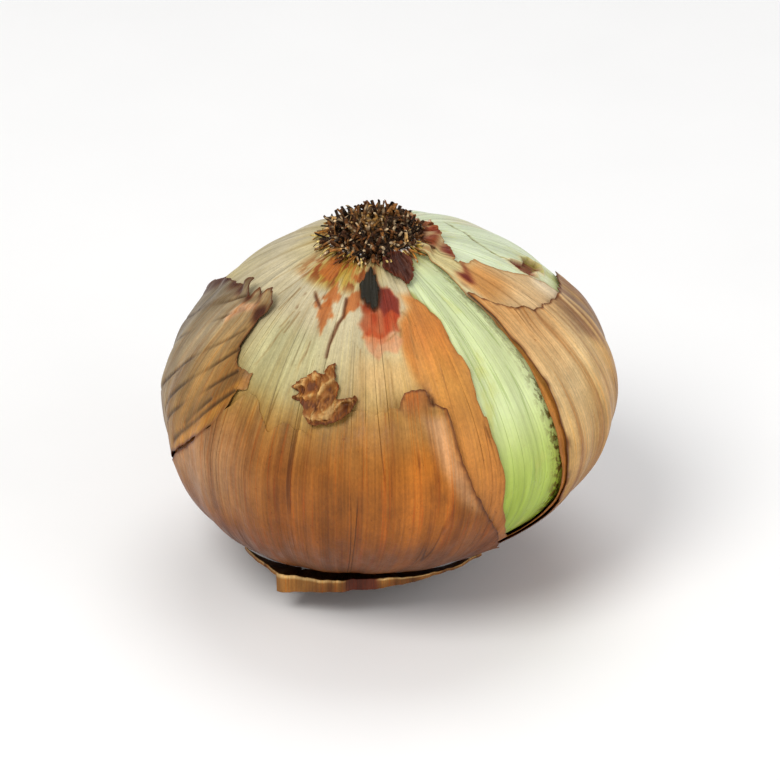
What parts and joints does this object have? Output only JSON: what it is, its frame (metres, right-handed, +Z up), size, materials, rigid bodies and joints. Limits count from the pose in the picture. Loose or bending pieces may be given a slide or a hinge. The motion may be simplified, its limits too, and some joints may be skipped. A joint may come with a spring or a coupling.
{
  "type": "onion",
  "caption": "Dry onion bulb: a flattened globe with torn papery skins over pale flesh and a tuft of cut roots, resting on its short neck.",
  "frame": {"origin": "on the surface that the onion rests on, under the middle of its widest circle (the middle of its bounding box)", "axes": "+Z up from the cut neck to the root end; -Y towards the side with the long green slit and the cream shoulder in view; +X to the right of that side"},
  "size_m": [0.0855, 0.0854, 0.0723],
  "materials": {
    "flesh": "moist, smooth and waxy, with fine green veins",
    "cream_skin": "thin satin papery skin, cream to orange",
    "brown_skin": "dry satin papery skin with fine veins",
    "loose_skin": "dry papery skin, peeled away",
    "curled_scrap": "brittle crumpled papery skin",
    "dark_scrap": "dark dry papery skin",
    "dried_roots": "dry, dark and fibrous with pale cut tips"
  },
  "bodies": {
    "root": {"bulb": "flesh", "inner_skin": "cream_skin", "outer_skin": "brown_skin", "peeled_skin": "loose_skin", "torn_flake": "curled_scrap", "root_flake": "dark_scrap", "root_tuft": "dried_roots"}
  },
  "joints": []
}
